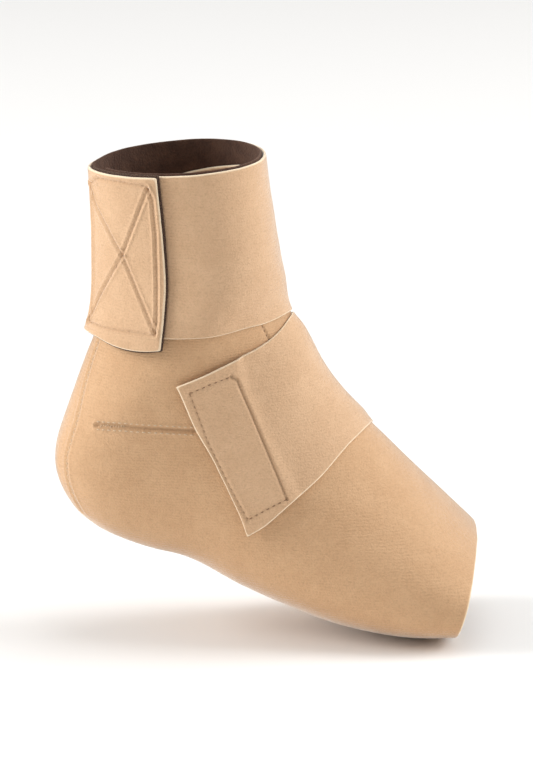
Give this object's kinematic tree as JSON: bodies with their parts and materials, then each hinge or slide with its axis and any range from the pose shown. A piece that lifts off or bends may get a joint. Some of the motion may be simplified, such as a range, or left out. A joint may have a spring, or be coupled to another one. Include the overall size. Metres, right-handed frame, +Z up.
{
  "type": "ankle-foot compression wrap",
  "caption": "Beige cloth wrap that covers the heel, instep and ankle of a right foot and closes with straps on its outer side; toes and leg opening are open.",
  "frame": {"origin": "centre of the ankle joint of the foot that wears it, inside the hollow", "axes": "+Z up the leg, +X forward towards the toes, +Y towards the other foot, so that the closures face -Y"},
  "size_m": [0.1833, 0.094, 0.2104],
  "materials": {
    "foot_cloth": "brushed loop knit, matt",
    "strap_cloth": "brushed loop knit, matt",
    "lining_cloth": "fine knit, matt",
    "hook_tape": "hook tape, matt"
  },
  "bodies": {
    "root": {"foot_piece": "foot_cloth", "ankle_strap": "strap_cloth", "ankle_strap_lining": "lining_cloth", "ankle_hook_tape": "hook_tape", "instep_strap": "strap_cloth", "instep_hook_tape": "foot_cloth"}
  },
  "joints": []
}
